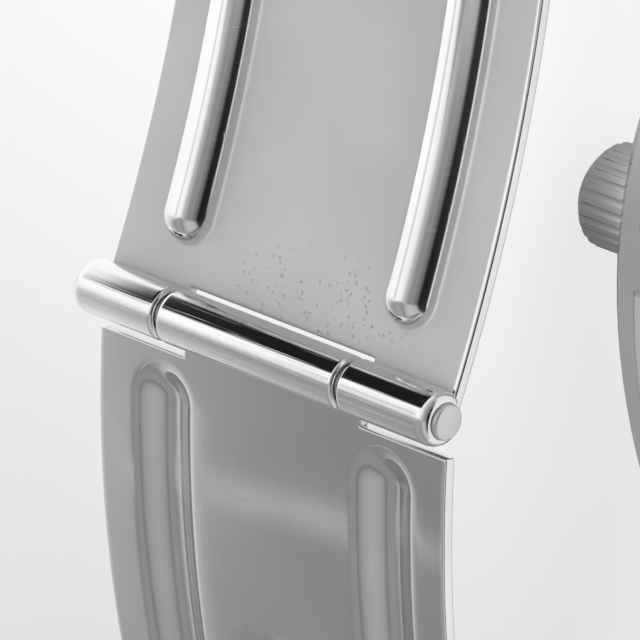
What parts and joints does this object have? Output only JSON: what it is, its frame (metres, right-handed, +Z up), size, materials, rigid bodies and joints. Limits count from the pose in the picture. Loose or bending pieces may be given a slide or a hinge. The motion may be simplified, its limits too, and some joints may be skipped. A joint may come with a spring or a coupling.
{
  "type": "bracelet wristwatch",
  "caption": "Wristwatch with a round steel case, link bracelet and two-blade folding clasp, standing with the clasp opened out.",
  "frame": {"origin": "middle of the case back's flat outer face", "axes": "+X towards 12 o'clock, +Y out of the case back towards the wrist, so the dial faces -Y, and +Z up towards 9 o'clock, so the crown points to -Z; every hinge of the bracelet and clasp lies along Z"},
  "size_m": [0.0941, 0.0451, 0.0391],
  "materials": {
    "polished_steel": "polished stainless steel",
    "clasp_steel": "polished sheet steel with fine scratches and small pits",
    "pin_steel": "turned steel with fine rings",
    "spring_steel": "plain spring steel",
    "crystal_glass": "clear mineral glass",
    "seal_rubber": "black seal rubber",
    "seal_plastic": "white tension ring",
    "dial_paint": "satin silver-white lacquer",
    "marker_metal": "dark polished metal",
    "movement_brass": "grained brass",
    "holder_metal": "turned light metal",
    "rotor_metal": "ring-grained winding weight"
  },
  "bodies": {
    "watch_head": {"case_middle": "polished_steel", "bezel": "polished_steel", "crystal": "crystal_glass", "crystal_gasket": "seal_plastic", "rehaut": "dial_paint", "dial": "dial_paint", "hour_markers": "marker_metal", "movement_holder": "holder_metal", "main_plate": "movement_brass", "train_bridge": "movement_brass", "rotor_screw": "pin_steel", "case_back": "polished_steel", "back_gasket": "seal_rubber", "crown_tube": "pin_steel", "end_link_12": "polished_steel", "end_link_6": "polished_steel", "lug_bar_12": "pin_steel", "lug_bar_6": "pin_steel", "end_pin_12": "pin_steel", "end_pin_6": "pin_steel"},
    "hour_hand": {"hour_hand": "marker_metal"},
    "minute_hand": {"minute_hand": "marker_metal"},
    "second_hand": {"second_hand": "marker_metal"},
    "rotor": {"rotor": "rotor_metal"},
    "stem_slide": {"stem_collar": "movement_brass"},
    "crown": {"crown": "polished_steel", "crown_gasket": "seal_rubber", "winding_stem": "pin_steel"},
    "link_12_1": {"link_12_1": "polished_steel", "pin_12_1": "pin_steel"},
    "link_12_2": {"link_12_2": "polished_steel", "pin_12_2": "pin_steel"},
    "link_12_3": {"link_12_3": "polished_steel", "pin_12_3": "pin_steel"},
    "link_12_4": {"link_12_4": "polished_steel", "pin_12_4": "pin_steel"},
    "link_12_5": {"link_12_5": "polished_steel", "pin_12_5": "pin_steel"},
    "link_12_6": {"link_12_6": "polished_steel", "cover_bar": "pin_steel"},
    "link_6_1": {"link_6_1": "polished_steel", "pin_6_1": "pin_steel"},
    "link_6_2": {"link_6_2": "polished_steel", "pin_6_2": "pin_steel"},
    "link_6_3": {"link_6_3": "polished_steel", "pin_6_3": "pin_steel"},
    "link_6_4": {"link_6_4": "polished_steel", "pin_6_4": "pin_steel"},
    "link_6_5": {"link_6_5": "polished_steel"},
    "clasp_cover": {"clasp_cover": "clasp_steel", "cover_catch": "spring_steel", "hinge_pin_a": "pin_steel"},
    "blade_1": {"blade_1": "clasp_steel", "hinge_pin_b": "pin_steel"},
    "blade_2": {"blade_2": "clasp_steel", "eye_bar": "pin_steel"}
  },
  "joints": [
    {"name": "minute_turn", "type": "hinge", "parent": "watch_head", "child": "minute_hand", "pos_m": [0, -0.0082, 0], "axis": [0, 1, 0], "continuous": true},
    {"name": "hour_turn", "type": "hinge", "parent": "watch_head", "child": "hour_hand", "pos_m": [0, -0.00775, 0], "axis": [0, 1, 0], "continuous": true},
    {"name": "second_turn", "type": "hinge", "parent": "watch_head", "child": "second_hand", "pos_m": [0, -0.00865, 0], "axis": [0, 1, 0], "continuous": true},
    {"name": "rotor_turn", "type": "hinge", "parent": "watch_head", "child": "rotor", "pos_m": [0, -0.0028, 0], "axis": [0, 1, 0], "continuous": true},
    {"name": "stem_pull", "type": "slide", "parent": "watch_head", "child": "stem_slide", "axis": [0, 0, -1], "range_m": [0, 0.0012]},
    {"name": "crown_turn", "type": "hinge", "parent": "stem_slide", "child": "crown", "pos_m": [0, -0.0052, -0.0183], "axis": [0, 0, -1], "continuous": true},
    {"name": "hinge_12_1", "type": "hinge", "parent": "watch_head", "child": "link_12_1", "pos_m": [0.0228, -0.0036, 0], "axis": [0, 0, 1], "range_deg": [-25, 0]},
    {"name": "hinge_12_2", "type": "hinge", "parent": "link_12_1", "child": "link_12_2", "pos_m": [0.02993, -0.0046, 0], "axis": [0, 0, 1], "range_deg": [-30, 0]},
    {"name": "hinge_12_3", "type": "hinge", "parent": "link_12_2", "child": "link_12_3", "pos_m": [0.03708, -0.00377, 0], "axis": [0, 0, 1], "range_deg": [-30, 0]},
    {"name": "hinge_12_4", "type": "hinge", "parent": "link_12_3", "child": "link_12_4", "pos_m": [0.04379, -0.00116, 0], "axis": [0, 0, 1], "range_deg": [-30, 0]},
    {"name": "hinge_12_5", "type": "hinge", "parent": "link_12_4", "child": "link_12_5", "pos_m": [0.04962, 0.00306, 0], "axis": [0, 0, 1], "range_deg": [-30, 0]},
    {"name": "hinge_12_6", "type": "hinge", "parent": "link_12_5", "child": "link_12_6", "pos_m": [0.0542, 0.00862, 0], "axis": [0, 0, 1], "range_deg": [-30, 0]},
    {"name": "hinge_cover", "type": "hinge", "parent": "link_12_6", "child": "clasp_cover", "pos_m": [0.05722, 0.01516, 0], "axis": [0, 0, 1], "range_deg": [-70, 0]},
    {"name": "fold_a", "type": "hinge", "parent": "clasp_cover", "child": "blade_1", "pos_m": [0.03095, 0.02963, 0], "axis": [0, 0, 1], "range_deg": [0, 162.2]},
    {"name": "fold_b", "type": "hinge", "parent": "blade_1", "child": "blade_2", "pos_m": [0.0073, 0.0332, 0], "axis": [0, 0, 1], "range_deg": [-203.5, 0]},
    {"name": "hinge_6_1", "type": "hinge", "parent": "watch_head", "child": "link_6_1", "pos_m": [-0.0228, -0.0036, 0], "axis": [0, 0, 1], "range_deg": [0, 60]},
    {"name": "hinge_6_2", "type": "hinge", "parent": "link_6_1", "child": "link_6_2", "pos_m": [-0.02779, 0.00159, 0], "axis": [0, 0, 1], "range_deg": [0, 42]},
    {"name": "hinge_6_3", "type": "hinge", "parent": "link_6_2", "child": "link_6_3", "pos_m": [-0.02984, 0.00849, 0], "axis": [0, 0, 1], "range_deg": [0, 42]},
    {"name": "hinge_6_4", "type": "hinge", "parent": "link_6_3", "child": "link_6_4", "pos_m": [-0.02848, 0.01556, 0], "axis": [0, 0, 1], "range_deg": [0, 42]},
    {"name": "hinge_6_5", "type": "hinge", "parent": "link_6_4", "child": "link_6_5", "pos_m": [-0.02402, 0.02121, 0], "axis": [0, 0, 1], "range_deg": [0, 42]}
  ],
  "couplings": [
    {"joint": "hour_turn", "follows": "minute_turn", "ratio": 0.083333},
    {"joint": "fold_b", "follows": "fold_a", "ratio": -1.2515}
  ]
}
